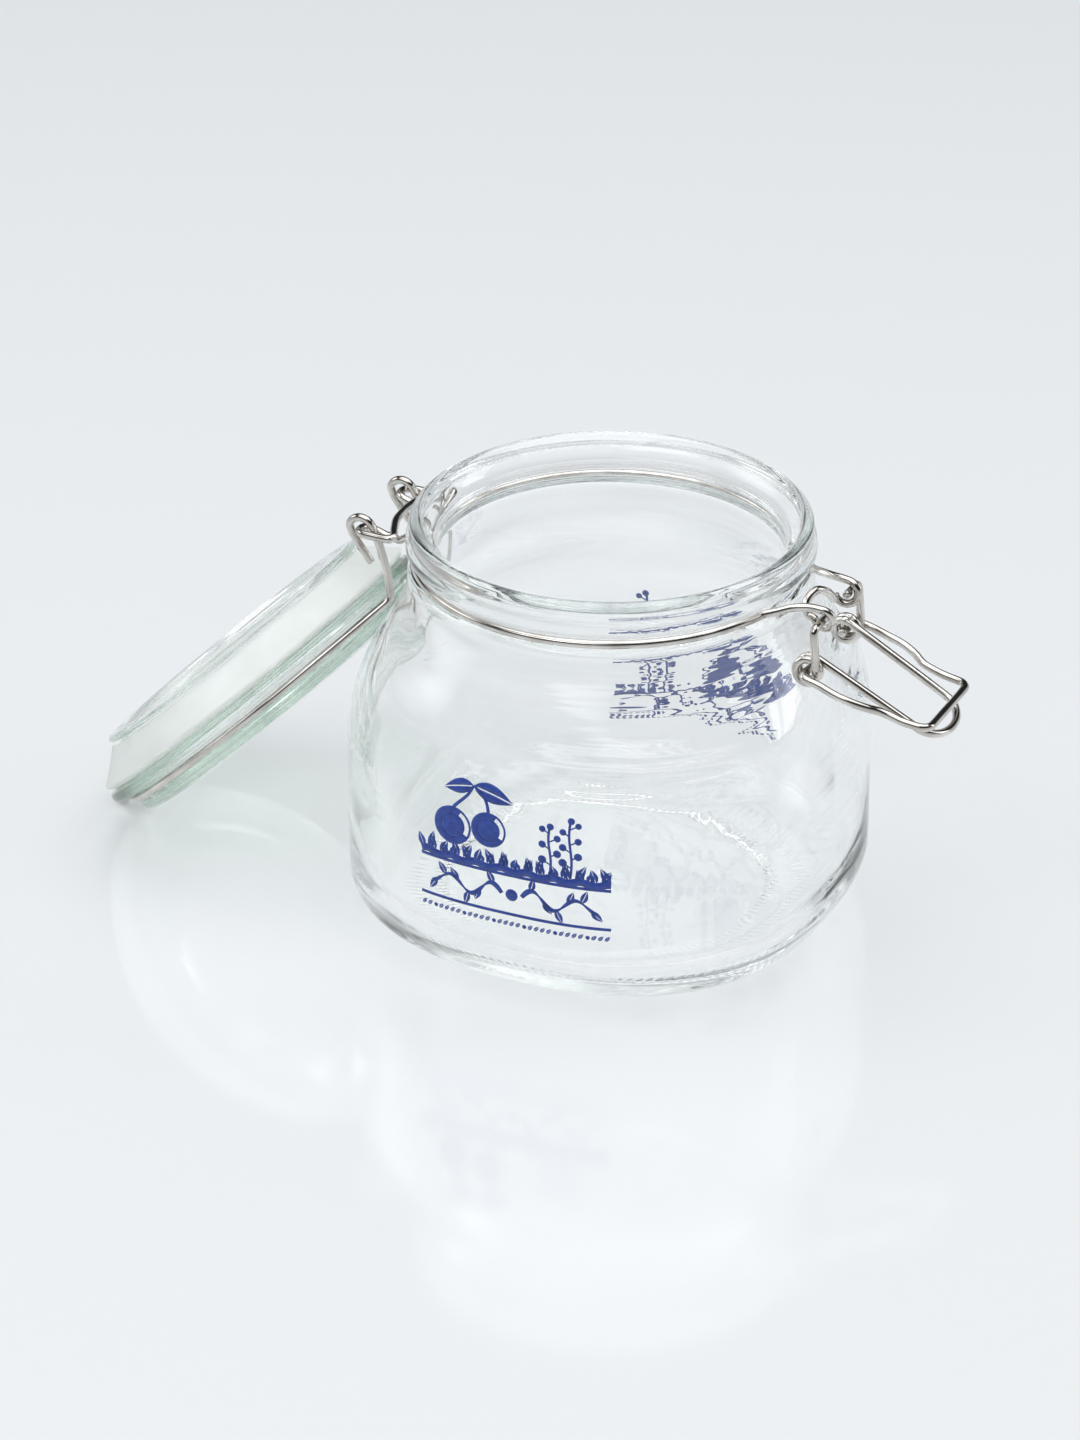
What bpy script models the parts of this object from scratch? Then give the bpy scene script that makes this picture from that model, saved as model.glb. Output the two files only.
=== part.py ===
"""Clamp jar: a half-litre glass jar with a softly squared body and a round mouth, open.

The lid hangs from the neck wire on the left (-X) and the latch hangs on the right (+X).
Origin: the jar's own upright axis, on the plane the jar stands on. +Z is up, -Y is the printed face.
Dimensions are in millimetres until a mesh is made.
"""
import math

import bpy
from mathutils import Matrix, Vector

MM = 0.001

# Jar body: (height, half width, squareness). Squareness 2 is a circle, more is squarer.
BASE_FLAT_R = 41.0
OUTSIDE = [
    (0.0, 30.0, 2.0),
    (0.0, BASE_FLAT_R, 2.0),
    (0.5, 45.0, 2.15),
    (1.8, 48.6, 2.35),
    (4.4, 52.3, 2.46),
    (8.0, 55.0, 2.52),
    (12.7, 56.4, 2.54),
    (30.0, 56.5, 2.54),
    (46.0, 56.4, 2.54),
    (52.0, 56.0, 2.50),
    (57.0, 55.2, 2.45),
    (61.0, 54.0, 2.38),
    (65.0, 52.3, 2.28),
    (69.0, 50.2, 2.16),
    (73.0, 48.2, 2.06),
    (77.0, 46.8, 2.0),
    (81.0, 46.0, 2.0),
    (84.0, 45.8, 2.0),
    (85.3, 44.9, 2.0),
    (86.0, 43.7, 2.0),
    (87.0, 43.25, 2.0),
    (88.0, 43.7, 2.0),
    (88.8, 45.2, 2.0),
    (90.2, 46.3, 2.0),
    (92.0, 46.1, 2.0),
    (93.4, 45.4, 2.0),
    (94.6, 45.6, 2.0),
    (95.8, 45.3, 2.0),
    (96.7, 44.4, 2.0),
    (97.0, 43.3, 2.0),
]
INSIDE = [
    (96.5, 42.6, 2.0),
    (95.5, 41.6, 2.0),
    (94.0, 40.3, 2.0),
    (92.2, 39.5, 2.0),
    (88.0, 39.4, 2.0),
    (80.0, 40.6, 2.0),
    (74.0, 43.0, 2.04),
    (69.0, 45.6, 2.14),
    (64.0, 48.3, 2.28),
    (58.0, 50.8, 2.42),
    (50.0, 52.2, 2.52),
    (30.0, 52.5, 2.54),
    (16.0, 52.2, 2.52),
    (10.5, 50.2, 2.45),
    (7.4, 46.0, 2.3),
    (6.0, 38.0, 2.0),
    (5.6, 20.0, 2.0),
]
JAR_SIDES = 56

# Wires
WIRE_R = 0.95
WIRE_SIDES = 8
NECK_WIRE_R = 44.5
NECK_WIRE_Z = 87.0

# Lid, drawn closed and level: (height above the plug's rim, radius)
LID_Z = 89.6
LID_OUTSIDE = [
    (18.5, 20.0),
    (18.8, 31.5),
    (19.4, 34.6),
    (19.5, 37.2),
    (19.1, 38.9),
    (18.2, 40.0),
    (17.1, 40.4),
    (16.3, 40.1),
    (15.6, 39.8),
    (14.0, 39.8),
    (13.4, 41.2),
    (13.2, 43.7),
    (12.6, 44.5),
    (11.6, 44.7),
    (10.7, 44.2),
    (10.35, 42.6),
    (3.5, 34.9),
    (1.9, 35.0),
    (1.4, 36.5),
    (0.6, 36.8),
    (0.0, 36.0),
]
LID_INSIDE = [
    (0.0, 33.8),
    (0.6, 32.9),
    (4.0, 32.4),
    (9.0, 31.9),
    (12.0, 30.6),
    (13.6, 27.6),
    (14.0, 23.0),
]
LID_TOP_MIDDLE = 18.4
LID_UNDER_MIDDLE = 14.0
LID_SIDES = 44
LID_WIRE_R = 41.0
LID_WIRE_A = 14.8

# Gasket section: a sloping band of rubber, (height above the plug's rim, radius)
GASKET = [
    (2.05, 36.8),
    (8.5, 44.0),
    (9.2, 44.1),
    (9.95, 43.0),
    (3.45, 35.7),
    (2.6, 35.5),
]
GASKET_SIDES = 44

# Hinge: the lid swings about this line, parallel to Y
HINGE = Vector((-57.5, 0.0, 86.8))
OPEN_ANGLE = 223.8
HOOK_Y = 10.7
HOOK_R = 3.1
HOOK = Vector((-57.3, -HOOK_Y, 86.2))
EYE_BAR_Z = 86.4
EYE_OUT_Y = 13.0
EYE_IN_Y = 8.3

# Latch
EYE = Vector((54.4, 0.0, 85.75))
EYE_R = 2.55
LEVER_AXIS = Vector((54.65, 0.0, 85.65))
COIL = Vector((52.9, 0.0, 74.7))
COIL_R = 2.7
COIL_OUT_Y = 13.0
COIL_IN_Y = 9.4
COIL_SWEEP = 658.0
LEVER_SLOPE = 28.0
LEVER_LEG = 27.0
LEVER_END_Y = 8.6
LEVER_END_DEPTH = 5.7
CATCH_Y = 5.5
CATCH_HALF = 3.6
CATCH_R = 48.7
CATCH_DROP = 1.1


def rounded(corners, radii, turn=24.0):
    """A run of straight lengths with each inner corner rounded off to its radius."""
    out = [corners[0]]
    for i in range(1, len(corners) - 1):
        before, here, after = corners[i - 1], corners[i], corners[i + 1]
        back = (before - here).normalized()
        ahead = (after - here).normalized()
        inner = back.angle(ahead)
        if radii[i] <= 0.0 or inner > math.pi - 0.01:
            out.append(here)
            continue
        reach = radii[i] / math.tan(inner / 2)
        longest = 0.49 * min((before - here).length, (after - here).length)
        reach = min(reach, longest)
        radius = reach * math.tan(inner / 2)
        start = here + back * reach
        middle = here + (back + ahead).normalized() * (radius / math.sin(inner / 2))
        x_axis = (start - middle).normalized()
        end = here + ahead * reach - middle
        y_axis = (end - x_axis * end.dot(x_axis)).normalized()
        sweep = math.pi - inner
        steps = max(2, math.ceil(math.degrees(sweep) / turn))
        for step in range(steps + 1):
            angle = sweep * step / steps
            spoke = x_axis * math.cos(angle) + y_axis * math.sin(angle)
            out.append(middle + spoke * radius)
    out.append(corners[-1])
    return out


def through(points, per=3):
    """A smooth run through every point."""
    first = points[0] * 2 - points[1]
    last = points[-1] * 2 - points[-2]
    full = [first] + points + [last]
    out = []
    for i in range(1, len(full) - 2):
        a, b, c, d = full[i - 1], full[i], full[i + 1], full[i + 2]
        for step in range(per):
            t = step / per
            out.append(
                (
                    b * 2
                    + (c - a) * t
                    + (a * 2 - b * 5 + c * 4 - d) * t * t
                    + (b * 3 - a - c * 3 + d) * t * t * t
                )
                * 0.5
            )
    out.append(points[-1])
    return out


def arc_level(radius, height, start, end, step):
    """Points round the upright axis from one angle to another, in degrees."""
    count = max(1, round(abs(end - start) / step))
    out = []
    for i in range(count + 1):
        angle = math.radians(start + (end - start) * i / count)
        out.append(Vector((radius * math.cos(angle), radius * math.sin(angle), height)))
    return out


def mirrored(points):
    """The same run on the other side of the XZ plane, in the opposite order."""
    return [Vector((p.x, -p.y, p.z)) for p in reversed(points)]


def opened(point):
    """Swings a point of the closed lid round the hinge to where it hangs."""
    angle = math.radians(OPEN_ANGLE)
    x = point.x - HINGE.x
    z = point.z - HINGE.z
    return Vector(
        (
            HINGE.x + x * math.cos(angle) - z * math.sin(angle),
            point.y,
            HINGE.z + x * math.sin(angle) + z * math.cos(angle),
        )
    )


def coat(name, colour, rough, metal, transmission=0.0):
    material = bpy.data.materials.new(name)
    material.use_nodes = True
    shader = material.node_tree.nodes["Principled BSDF"]
    shader.inputs["Base Color"].default_value = (*colour, 1.0)
    shader.inputs["Roughness"].default_value = rough
    shader.inputs["Metallic"].default_value = metal
    shader.inputs["Transmission Weight"].default_value = transmission
    return material


def add_object(name, points, faces, origin, material):
    """One sub-part, with its own origin on the line it turns about."""
    mesh = bpy.data.meshes.new(name)
    verts = [tuple((p - origin) * MM) for p in points]
    mesh.from_pydata(verts, [], faces)
    mesh.validate()
    for face in mesh.polygons:
        face.use_smooth = True
    mesh.materials.append(material)
    obj = bpy.data.objects.new(name, mesh)
    obj.location = origin * MM
    bpy.context.scene.collection.objects.link(obj)
    return obj


def stacked(name, rings, first, last, origin, material):
    """A closed solid from rings of equal count, with a middle point at each end."""
    sides = len(rings[0])
    points = [first] + [p for ring in rings for p in ring] + [last]
    faces = []
    for i in range(sides):
        faces.append((0, 1 + (i + 1) % sides, 1 + i))
    for r in range(len(rings) - 1):
        low = 1 + r * sides
        for i in range(sides):
            j = (i + 1) % sides
            faces.append((low + i, low + j, low + sides + j, low + sides + i))
    top = 1 + (len(rings) - 1) * sides
    for i in range(sides):
        faces.append((top + i, top + (i + 1) % sides, len(points) - 1))
    return add_object(name, points, faces, origin, material)


def round_solid_of(name, sections, origin, material):
    """A closed ring-shaped solid from the same loop drawn at each angle."""
    count = len(sections)
    size = len(sections[0])
    points = [p for section in sections for p in section]
    faces = []
    for s in range(count):
        here = s * size
        there = (s + 1) % count * size
        for i in range(size):
            j = (i + 1) % size
            faces.append((here + i, there + i, there + j, here + j))
    return add_object(name, points, faces, origin, material)


def squircle(half, power, height, sides):
    ring = []
    for i in range(sides):
        angle = 2 * math.pi * i / sides
        c = math.cos(angle)
        s = math.sin(angle)
        radius = half / (abs(c) ** power + abs(s) ** power) ** (1 / power)
        ring.append(Vector((radius * c, radius * s, height)))
    return ring


def wire(name, path, origin, material):
    """A round wire along the path, with slightly eased cut ends."""
    tidy = [path[0]]
    for p in path[1:]:
        if (p - tidy[-1]).length > 0.25:
            tidy.append(p)
    path = tidy
    lengths = [path[i + 1] - path[i] for i in range(len(path) - 1)]
    tangents = [lengths[0].normalized()]
    for i in range(1, len(path) - 1):
        tangents.append((lengths[i - 1].normalized() + lengths[i].normalized()).normalized())
    tangents.append(lengths[-1].normalized())
    side = tangents[0].orthogonal().normalized()
    rings = []
    for i, here in enumerate(path):
        if i:
            side = tangents[i - 1].rotation_difference(tangents[i]) @ side
            side = (side - tangents[i] * side.dot(tangents[i])).normalized()
        other = tangents[i].cross(side)
        ring = []
        for k in range(WIRE_SIDES):
            angle = 2 * math.pi * k / WIRE_SIDES
            ring.append(here + (side * math.cos(angle) + other * math.sin(angle)) * WIRE_R)
        rings.append(ring)
    ease = 0.25
    eased_first = [path[0] + (p - path[0]) * 0.7 - tangents[0] * ease for p in rings[0]]
    eased_last = [path[-1] + (p - path[-1]) * 0.7 + tangents[-1] * ease for p in rings[-1]]
    rings = [eased_first] + rings + [eased_last]
    first = path[0] - tangents[0] * ease
    last = path[-1] + tangents[-1] * ease
    return stacked(name, rings, first, last, origin, material)


def jar(material):
    rings = [squircle(half, power, z, JAR_SIDES) for z, half, power in OUTSIDE + INSIDE]
    first = Vector((0.0, 0.0, 0.0))
    last = Vector((0.0, 0.0, INSIDE[-1][0]))
    return stacked("jar_body", rings, first, last, Vector((0.0, 0.0, 0.0)), material)


def lid(material):
    rings = []
    for a, radius in LID_OUTSIDE + LID_INSIDE:
        ring = squircle(radius, 2.0, LID_Z + a, LID_SIDES)
        rings.append([opened(p) for p in reversed(ring)])
    first = opened(Vector((0.0, 0.0, LID_Z + LID_TOP_MIDDLE)))
    last = opened(Vector((0.0, 0.0, LID_Z + LID_UNDER_MIDDLE)))
    return stacked("lid_glass", rings, first, last, HINGE, material)


def gasket(material):
    sections = []
    for s in range(GASKET_SIDES):
        angle = 2 * math.pi * s / GASKET_SIDES
        loop = []
        for a, radius in GASKET:
            flat = Vector((radius * math.cos(angle), radius * math.sin(angle), LID_Z + a))
            loop.append(opened(flat))
        sections.append(loop)
    return round_solid_of("gasket", sections, HINGE, material)


def neck_wire(material):
    """One length of wire: latch eye, round the neck, two hinge eyes and back to the other latch eye."""
    run_out = through(
        [
            Vector((42.5, -13.2, NECK_WIRE_Z)),
            Vector((45.1, -11.4, 87.5)),
            Vector((47.7, -9.7, 88.1)),
            Vector((50.3, -8.6, 88.4)),
            Vector((52.6, -8.1, 88.5)),
        ]
    )
    ring = []
    for degrees in range(90, -166, -30):
        angle = math.radians(degrees)
        along = (90 - degrees) / 255
        ring.append(
            Vector(
                (
                    EYE.x + EYE_R * math.cos(angle),
                    -8.0 + 2.0 * along,
                    EYE.z + EYE_R * math.sin(angle),
                )
            )
        )
    arch = through(
        [
            Vector((50.4, -5.5, 84.8)),
            Vector((49.4, -4.9, 86.9)),
            Vector((49.6, -3.2, 88.6)),
            Vector((50.4, -1.0, 89.2)),
            Vector((51.3, 1.0, 88.4)),
            Vector((52.0, 2.7, 87.0)),
            Vector((52.6, 3.9, 85.1)),
        ]
    )
    near_eye = run_out + ring + arch
    far_eye = mirrored(run_out + ring)
    hinge_eye = rounded(
        [
            Vector((-51.6, 0.0, 87.9)),
            Vector((-51.2, -5.5, 87.5)),
            Vector((-49.6, -9.6, 86.9)),
            Vector((-48.0, -EYE_OUT_Y, 86.4)),
            Vector((-52.0, -EYE_OUT_Y, 86.3)),
            Vector((HINGE.x, -EYE_OUT_Y, EYE_BAR_Z)),
            Vector((HINGE.x, -EYE_IN_Y, EYE_BAR_Z)),
            Vector((-52.4, -EYE_IN_Y, 84.8)),
            Vector((-48.6, -8.7, 84.4)),
            Vector((-45.9, -9.8, 86.3)),
            Vector((-43.08, -11.14, NECK_WIRE_Z)),
        ],
        [0, 9.0, 9.0, 1.7, 9.0, 2.3, 2.3, 4.0, 2.0, 2.0, 0],
    )
    side = arc_level(NECK_WIRE_R, NECK_WIRE_Z, -165.5, -17.3, 7.0)
    near_half = hinge_eye + side[1:-1] + near_eye
    far_half = mirrored(hinge_eye + side[1:-1])
    path = far_eye + far_half + near_half[1:]
    return wire("neck_wire", path, Vector((0.0, 0.0, NECK_WIRE_Z)), material)


def lid_wire(material):
    """Round the lid's groove, with a catch at the front and a hook at each end."""
    level = LID_Z + LID_WIRE_A
    near_y = -CATCH_Y - CATCH_HALF
    far_y = -CATCH_Y + CATCH_HALF
    catch = rounded(
        [
            Vector((38.5, near_y - 5.0, level)),
            Vector((40.2, near_y, level)),
            Vector((44.6, near_y, level - 0.2)),
            Vector((CATCH_R, near_y, level - CATCH_DROP)),
            Vector((CATCH_R, far_y, level - CATCH_DROP)),
            Vector((44.6, far_y, level - 0.2)),
            Vector((41.9, far_y, level)),
            Vector((40.9, far_y + 5.0, level)),
        ],
        [0, 0.9, 1.5, 1.7, 1.7, 1.5, 0.9, 0],
    )
    near_side = arc_level(LID_WIRE_R, level, -129.5, -20.0, 7.0)
    far_side = arc_level(LID_WIRE_R, level, 5.0, 129.5, 7.0)
    corner = Vector((-49.9, -HOOK_Y, 70.3))
    leg = rounded(
        [
            Vector((-54.9, -HOOK_Y, 78.6)),
            Vector((-57.7, -HOOK_Y, 82.2)),
            Vector((-60.2, -HOOK_Y, 85.4)),
        ],
        [0, 9.0, 0],
    )
    for degrees in range(165, 10, -25):
        angle = math.radians(degrees)
        spoke = Vector((math.cos(angle), 0.0, math.sin(angle)))
        leg.append(HOOK + spoke * HOOK_R)
    climb = rounded(
        [
            leg[-1],
            Vector((-52.9, -HOOK_Y, 83.9)),
            Vector((-50.7, -HOOK_Y, 76.0)),
            corner,
            opened(near_side[0]),
        ],
        [0, 9.0, 9.0, 2.2, 0],
    )
    end = leg + climb[1:-1]
    path = end + [opened(p) for p in near_side + catch[1:-1] + far_side] + mirrored(end)
    return wire("lid_wire", path, HINGE, material)


def lever(material):
    """Pin through each neck eye, a short leg down, nearly two turns of coil, then the finger loop."""
    run = rounded(
        [
            Vector((LEVER_AXIS.x, -6.0, LEVER_AXIS.z)),
            Vector((LEVER_AXIS.x, -COIL_OUT_Y, LEVER_AXIS.z)),
            Vector((COIL.x + COIL_R, -COIL_OUT_Y, COIL.z)),
        ],
        [0, 1.6, 0],
    )[:-1]
    steps = 24
    for i in range(steps + 1):
        angle = -math.radians(COIL_SWEEP * i / steps)
        run.append(
            Vector(
                (
                    COIL.x + COIL_R * math.cos(angle),
                    -COIL_OUT_Y + (COIL_OUT_Y - COIL_IN_Y) * i / steps,
                    COIL.z + COIL_R * math.sin(angle),
                )
            )
        )
    slope = math.radians(-LEVER_SLOPE)
    ahead = Vector((math.cos(slope), 0.0, math.sin(slope)))
    start = run[-1]
    middle = Vector((start.x, 0.0, start.z)) + ahead * LEVER_LEG
    steps = 7
    for i in range(steps + 1):
        angle = math.pi / 2 * i / steps
        out = ahead * (LEVER_END_DEPTH * math.sin(angle))
        across = Vector((0.0, -LEVER_END_Y * math.cos(angle), 0.0))
        run.append(middle + out + across)
    path = run + mirrored(run[:-1])
    return wire("latch_lever", path, LEVER_AXIS, material)


def bail(material):
    """Pin through each coil, a bent leg and the square end that goes over the lid's catch."""
    leg = through(
        [
            Vector((57.2, -15.5, 73.7)),
            Vector((60.9, -15.7, 72.3)),
            Vector((64.6, -15.5, 71.2)),
            Vector((68.0, -14.4, 70.0)),
            Vector((71.2, -12.6, 68.7)),
            Vector((76.0, -12.3, 67.2)),
        ],
        2,
    )
    pin = rounded(
        [
            Vector((COIL.x, -8.0, COIL.z)),
            Vector((COIL.x, -15.4, COIL.z)),
            leg[0],
        ],
        [0, 1.6, 0],
    )
    corner = rounded(
        [
            leg[-1],
            Vector((82.0, -12.0, 66.4)),
            Vector((82.0, 0.0, 66.4)),
        ],
        [0, 2.6, 0],
    )
    near = pin[:-1] + leg + corner[1:]
    return wire("latch_bail", near + mirrored(near[:-1]), COIL, material)


def main():
    for obj in list(bpy.data.objects):
        bpy.data.objects.remove(obj, do_unlink=True)
    clear_glass = coat("clear_glass", (0.90, 0.95, 0.94), 0.03, 0.0, 1.0)
    green_glass = coat("green_glass", (0.62, 0.78, 0.70), 0.03, 0.0, 1.0)
    rubber = coat("white_rubber", (0.86, 0.86, 0.80), 0.45, 0.0)
    neck_steel = coat("neck_steel", (0.74, 0.72, 0.69), 0.22, 1.0)
    lid_steel = coat("lid_steel", (0.74, 0.72, 0.69), 0.22, 1.0)
    lever_steel = coat("lever_steel", (0.74, 0.72, 0.69), 0.20, 1.0)
    bail_steel = coat("bail_steel", (0.74, 0.72, 0.69), 0.20, 1.0)
    jar(clear_glass)
    neck_wire(neck_steel)
    lid(green_glass)
    gasket(rubber)
    lid_wire(lid_steel)
    lever(lever_steel)
    bail(bail_steel)


main()
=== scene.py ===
"""Clamp jar, open, on a pale glossy table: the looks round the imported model.

Lengths in the shape tables are millimetres in the model's own frame: origin on the jar's upright axis
at the plane it stands on, +X toward the latch, -Y the printed face, +Z up. M turns them into metres.
Angles are in degrees.
"""

import math

import bpy
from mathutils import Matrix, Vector


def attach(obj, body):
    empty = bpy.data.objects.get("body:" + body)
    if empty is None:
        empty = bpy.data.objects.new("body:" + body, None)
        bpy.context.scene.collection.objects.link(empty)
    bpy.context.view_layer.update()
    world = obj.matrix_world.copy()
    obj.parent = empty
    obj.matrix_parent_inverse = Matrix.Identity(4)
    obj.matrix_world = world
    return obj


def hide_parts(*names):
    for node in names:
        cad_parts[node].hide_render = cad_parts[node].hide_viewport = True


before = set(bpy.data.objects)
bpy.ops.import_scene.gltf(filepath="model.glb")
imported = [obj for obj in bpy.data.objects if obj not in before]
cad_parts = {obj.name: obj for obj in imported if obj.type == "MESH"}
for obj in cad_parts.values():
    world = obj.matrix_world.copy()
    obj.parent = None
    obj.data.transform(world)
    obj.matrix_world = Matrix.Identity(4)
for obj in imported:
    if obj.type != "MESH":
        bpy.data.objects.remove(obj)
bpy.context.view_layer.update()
M = 0.001

# ---------------------------------------------------------------- dimensions

# Jar body: (height, half width, squareness), where a squareness of 2 is round
JAR_OUTSIDE = [
    (0.5, 45.0, 2.15),
    (1.8, 48.6, 2.35),
    (4.4, 52.3, 2.46),
    (8.0, 55.0, 2.52),
    (12.7, 56.4, 2.54),
    (30.0, 56.5, 2.54),
    (46.0, 56.4, 2.54),
    (52.0, 56.0, 2.50),
    (57.0, 55.2, 2.45),
    (61.0, 54.0, 2.38),
    (65.0, 52.3, 2.28),
    (69.0, 50.2, 2.16),
    (73.0, 48.2, 2.06),
    (77.0, 46.8, 2.0),
    (81.0, 46.0, 2.0),
    (84.0, 45.8, 2.0),
    (85.3, 44.9, 2.0),
    (86.0, 43.7, 2.0),
    (87.0, 43.25, 2.0),
    (88.0, 43.7, 2.0),
    (88.8, 45.2, 2.0),
    (90.2, 46.3, 2.0),
    (92.0, 46.1, 2.0),
    (93.4, 45.4, 2.0),
    (94.6, 45.6, 2.0),
    (95.8, 45.3, 2.0),
    (96.7, 44.4, 2.0),
    (97.0, 43.4, 2.0),
]
JAR_INSIDE = [
    (96.6, 42.7, 2.0),
    (95.5, 41.6, 2.0),
    (94.0, 40.3, 2.0),
    (92.2, 39.5, 2.0),
    (88.0, 39.4, 2.0),
    (80.0, 40.6, 2.0),
    (74.0, 43.0, 2.04),
    (69.0, 45.6, 2.14),
    (64.0, 48.3, 2.28),
    (58.0, 50.8, 2.42),
    (50.0, 52.2, 2.52),
    (30.0, 52.5, 2.54),
    (16.0, 52.2, 2.52),
    (10.5, 50.2, 2.45),
    (7.4, 46.0, 2.3),
    (6.0, 38.0, 2.0),
    (5.4, 20.0, 2.0),
    (5.2, 6.0, 2.0),
]
JAR_UNDER = [
    (0.92, 6.0, 2.0),
    (0.9, 22.0, 2.0),
    (0.88, 33.0, 2.0),
    (0.8, 36.0, 2.0),
    (0.55, 37.3, 2.0),
    (0.15, 38.2, 2.0),
    (0.0, 39.2, 2.02),
    (0.0, 41.6, 2.05),
]
PUSH_UP_Z = 2.1
FLOOR_Z = 5.2
JAR_SIDES = 540
OUTER_STEPS = 3
INNER_STEPS = 4

# Moulded stipple under the jar: (radius, spread) of each row
STIPPLE_ROWS = [(38.6, 1.3), (45.4, 1.4)]
STIPPLE_REACH = (36.0, 49.0)
STIPPLE_TOP = 1.2
STIPPLE_RISE = 0.20
KNURLS = 135

# The mould's two parting lines, on opposite corners, in degrees round the jar
SEAM_AT = 45.0
SEAM_SPREAD = 0.7
SEAM_RISE = 0.06
SEAM_FOOT = 2.0
SEAM_FADE = 4.0

# Slow unevenness of the blown inner wall, as waves: (size, how many round, start, twist for each mm of
# height), the last two in radians
WANDER = [
    (0.30, 2, 0.9, 0.045),
    (0.20, 5, 2.1, -0.11),
    (0.12, 9, 0.0, 0.21),
    (0.10, 3, 0.0, 0.35),
]
WANDER_TOP = 86.0
WANDER_TOP_FADE = 12.0
WANDER_FOOT = 9.0
WANDER_FOOT_FADE = 9.0

WIRE_R = 0.95
WIRE_SIDES = 16
# The least distance between two rings of a wire
WIRE_GAP = 0.12
# Eased cut end of a wire: (share of the radius, distance past the end)
CUT_END = [(0.72, 0.25), (0.92, 0.16)]
# The most of a straight length that one rounded corner takes
CORNER_SHARE = 0.49
NECK_WIRE_R = 44.5
NECK_WIRE_Z = 87.0

# Lid, drawn closed: (height over LID_Z, radius)
LID_Z = 89.6
LID_SIDES = 480
LID_OUTSIDE = [
    (18.4, 6.0),
    (18.5, 20.0),
    (18.8, 31.5),
    (19.4, 34.6),
    (19.5, 37.2),
    (19.1, 38.9),
    (18.2, 40.0),
    (17.1, 40.4),
    (16.3, 40.1),
    (15.6, 39.8),
    (14.0, 39.8),
    (13.4, 41.2),
    (13.2, 43.7),
    (12.6, 44.5),
    (11.6, 44.7),
    (10.7, 44.2),
    (10.35, 42.6),
    (7.0, 38.8),
    (3.5, 34.9),
    (1.9, 35.0),
    (1.4, 36.5),
    (0.6, 36.8),
    (0.0, 36.0),
]
LID_INSIDE = [
    (0.0, 33.8),
    (0.6, 32.9),
    (4.0, 32.4),
    (9.0, 31.9),
    (12.0, 30.6),
    (13.6, 27.6),
    (14.0, 23.0),
    (14.0, 6.0),
]
LID_WIRE_R = 41.0
LID_WIRE_HEIGHT = 14.8
GASKET = [
    (2.05, 36.8),
    (5.3, 40.4),
    (8.5, 44.0),
    (9.2, 44.1),
    (9.95, 43.0),
    (6.7, 39.4),
    (3.45, 35.7),
    (2.6, 35.5),
]
GASKET_SIDES = 160
GASKET_EDGE = 0.25
GASKET_CREASE = 28.0

# The hinge, and the hook and eye that make it
HINGE = Vector((-57.5, 0.0, 86.8))
OPEN_ANGLE = 223.8
HOOK_Y = 10.7
HOOK_R = 3.1
HOOK = Vector((-57.3, -HOOK_Y, 86.2))
EYE_BAR_Z = 86.4
EYE_OUT_Y = 13.0
EYE_IN_Y = 8.3

# The latch eye of the neck wire, and the lever, the bail and the lid wire's catch
EYE = Vector((54.4, 0.0, 85.75))
EYE_R = 2.55
LEVER_AXIS = Vector((54.65, 0.0, 85.65))
COIL = Vector((52.9, 0.0, 74.7))
COIL_R = 2.7
COIL_OUT_Y = 13.0
COIL_IN_Y = 9.4
COIL_SWEEP = 658.0
LEVER_SLOPE = 28.0
LEVER_LEG = 27.0
LEVER_END_Y = 8.6
LEVER_END_DEPTH = 5.7
CATCH_Y = 5.5
CATCH_HALF = 3.6
CATCH_R = 48.7
CATCH_DROP = 1.1
BAIL_BAR_X = 82.0
BAIL_BAR_Z = 66.4

# Enamel print on the -Y face
ENAMEL_PROUD = 0.05
ENAMEL_THICK = 0.03
PRINT_LEFT = -21.5
PRINT_RIGHT = 24.5
RULE_WIDTH = 0.75
UPPER_RULE_Z = 33.4
LOWER_RULE_Z = 23.6
# Cherries: (x, z, radius)
CHERRIES = [(-13.2, 42.6, 4.7), (-4.2, 43.6, 4.3)]
KNOT_X = -8.0
KNOT_Z = 53.6
HEDGE_FOOT = 35.0
# Sprigs: (x of the foot, berries)
SPRIGS = [(10.6, 5), (15.4, 6)]
SPRIG_FOOT = 35.5
SCROLL_X = 1.5
SCROLL_Z = 28.5
# Leaves on each arm of the scroll: (how far along it, lean in degrees)
SCROLL_LEAVES = [(0.12, 70), (0.3, -60), (0.47, -70), (0.62, 60), (0.8, 62), (0.93, -50)]
SEEDS = 31
SEED_PITCH = 1.48
MIDRIB = 0.035

# ---------------------------------------------------------------- looks and studio

STEEL_DARK = (0.50, 0.475, 0.44)
STEEL_LIGHT = (0.68, 0.655, 0.62)
RUBBER_DARK = (0.80, 0.825, 0.80)
RUBBER_LIGHT = (0.87, 0.89, 0.875)
RUBBER_SHADE = (0.80, 0.82, 0.80)
ENAMEL_DARK = (0.010, 0.035, 0.235)
ENAMEL_LIGHT = (0.018, 0.060, 0.33)
# Painted light on the table: its colour at the near and far sides, standing in for uneven studio light
# across it
TABLE_NEAR_PAINTED_LIGHT = (0.690, 0.703, 0.714)
TABLE_FAR_PAINTED_LIGHT = (0.690, 0.711, 0.725)
ROOM_LOW = (0.78, 0.80, 0.82)
ROOM_HIGH = (0.95, 0.97, 1.0)
ROOM_STRENGTH = 0.80

RIPPLE = 0.5
# Sides of the dragged patch of the jar's glass, in metres: (axis, where it starts, where it is full)
DRAGGED = [("Z", 0.050, 0.062), ("Z", 0.084, 0.078), ("X", -0.012, 0.016), ("X", 0.050, 0.042)]

# The dark band round the room, by how steeply a ray climbs, from 0 at the horizon to 1 overhead:
# (where the dark starts, where it is full), going down from the ceiling and up from the table
DARK_BELOW_CEILING = (0.95, 0.74)
DARK_ABOVE_TABLE = (0.12, 0.28)
DARKNESS = 0.96

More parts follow.
